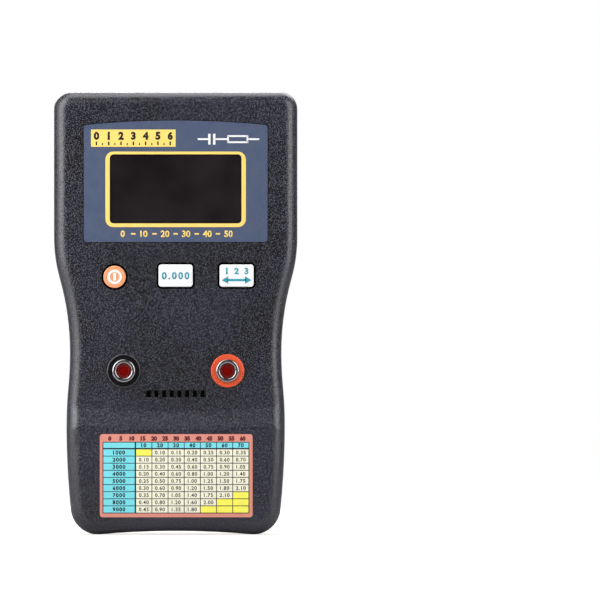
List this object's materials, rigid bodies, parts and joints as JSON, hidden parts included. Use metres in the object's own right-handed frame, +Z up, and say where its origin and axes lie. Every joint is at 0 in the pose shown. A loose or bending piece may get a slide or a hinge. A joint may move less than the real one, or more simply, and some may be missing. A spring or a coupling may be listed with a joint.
{
  "type": "component tester",
  "caption": "Handheld bench meter for testing capacitors: waisted two-part case with display, push buttons, test sockets and a folding tilt stand with a hanging slot.",
  "frame": {"origin": "middle of the bounding box at the level of the toes that the case stands on", "axes": "+Z up the case towards the display end, -Y out of the display face, +X to the right of the display"},
  "size_m": [0.099, 0.0378, 0.18],
  "materials": {
    "front_plastic": "fine matte texture, dark grey",
    "rear_plastic": "fine matte texture, orange",
    "stand_plastic": "satin, orange",
    "facia_film": "satin film, blue-grey with a yellow frame",
    "window_acrylic": "gloss, smoke tint",
    "lcd_glass": "gloss, dark",
    "white_plastic": "satin, white",
    "black_metal": "black",
    "button_white": "satin, white with a printed mark",
    "button_orange": "satin, orange with a printed mark",
    "black_plastic": "satin, black",
    "red_plastic": "satin, red",
    "liner_plastic": "satin, dark red",
    "nickel": "bright nickel plate",
    "tinned_brass": "tinned",
    "board_laminate": "green solder mask",
    "screw_steel": "dark",
    "spring_steel": "nickel plated",
    "capacitor_can": "plain",
    "cell_can": "plain sleeve",
    "red_insulation": "matte",
    "black_insulation": "matte",
    "table_print": "printed vinyl, table of plain numbers",
    "sticker_print": "printed vinyl, white with a thin ring"
  },
  "bodies": {
    "case": {"front_shell": "front_plastic", "rear_shell": "rear_plastic", "facia_label": "facia_film", "display_window": "window_acrylic", "lcd_glass": "lcd_glass", "lcd_backlight": "white_plastic", "lcd_bezel": "black_metal", "switch_bodies": "black_plastic", "negative_jack_collar": "black_plastic", "positive_jack_collar": "red_plastic", "negative_jack_sleeve": "nickel", "positive_jack_sleeve": "nickel", "negative_jack_liner": "liner_plastic", "positive_jack_liner": "liner_plastic", "jack_nuts": "nickel", "jack_solder_tags": "tinned_brass", "main_board": "board_laminate", "board_screws": "screw_steel", "buzzer": "black_plastic", "controller_chip": "black_plastic", "analog_chips": "black_plastic", "capacitors": "capacitor_can", "crystal": "spring_steel", "case_screws": "screw_steel", "battery_door": "rear_plastic", "battery_door_screw": "screw_steel", "lower_cell": "cell_can", "upper_cell": "cell_can", "battery_terminals": "spring_steel", "battery_link_plate": "spring_steel", "battery_springs": "spring_steel", "negative_battery_lead": "black_insulation", "positive_battery_lead": "red_insulation", "table_label": "table_print", "inspection_sticker": "sticker_print"},
    "stand": {"tilt_stand": "stand_plastic"},
    "power_key": {"power_button": "button_orange", "power_switch_plunger": "white_plastic"},
    "zero_key": {"zero_button": "button_white", "zero_switch_plunger": "white_plastic"},
    "mode_key": {"mode_button": "button_white", "mode_switch_plunger": "white_plastic"}
  },
  "joints": [
    {"name": "stand_hinge", "type": "hinge", "parent": "case", "child": "stand", "pos_m": [0, 0.01537, 0.1119], "axis": [1, 0, 0], "range_deg": [0, 60]},
    {"name": "power_press", "type": "slide", "parent": "case", "child": "power_key", "axis": [0, 1, 0], "range_m": [0, 0.0005], "stiffness_N_per_m": 2000},
    {"name": "zero_press", "type": "slide", "parent": "case", "child": "zero_key", "axis": [0, 1, 0], "range_m": [0, 0.0005], "stiffness_N_per_m": 2000},
    {"name": "mode_press", "type": "slide", "parent": "case", "child": "mode_key", "axis": [0, 1, 0], "range_m": [0, 0.0005], "stiffness_N_per_m": 2000}
  ]
}
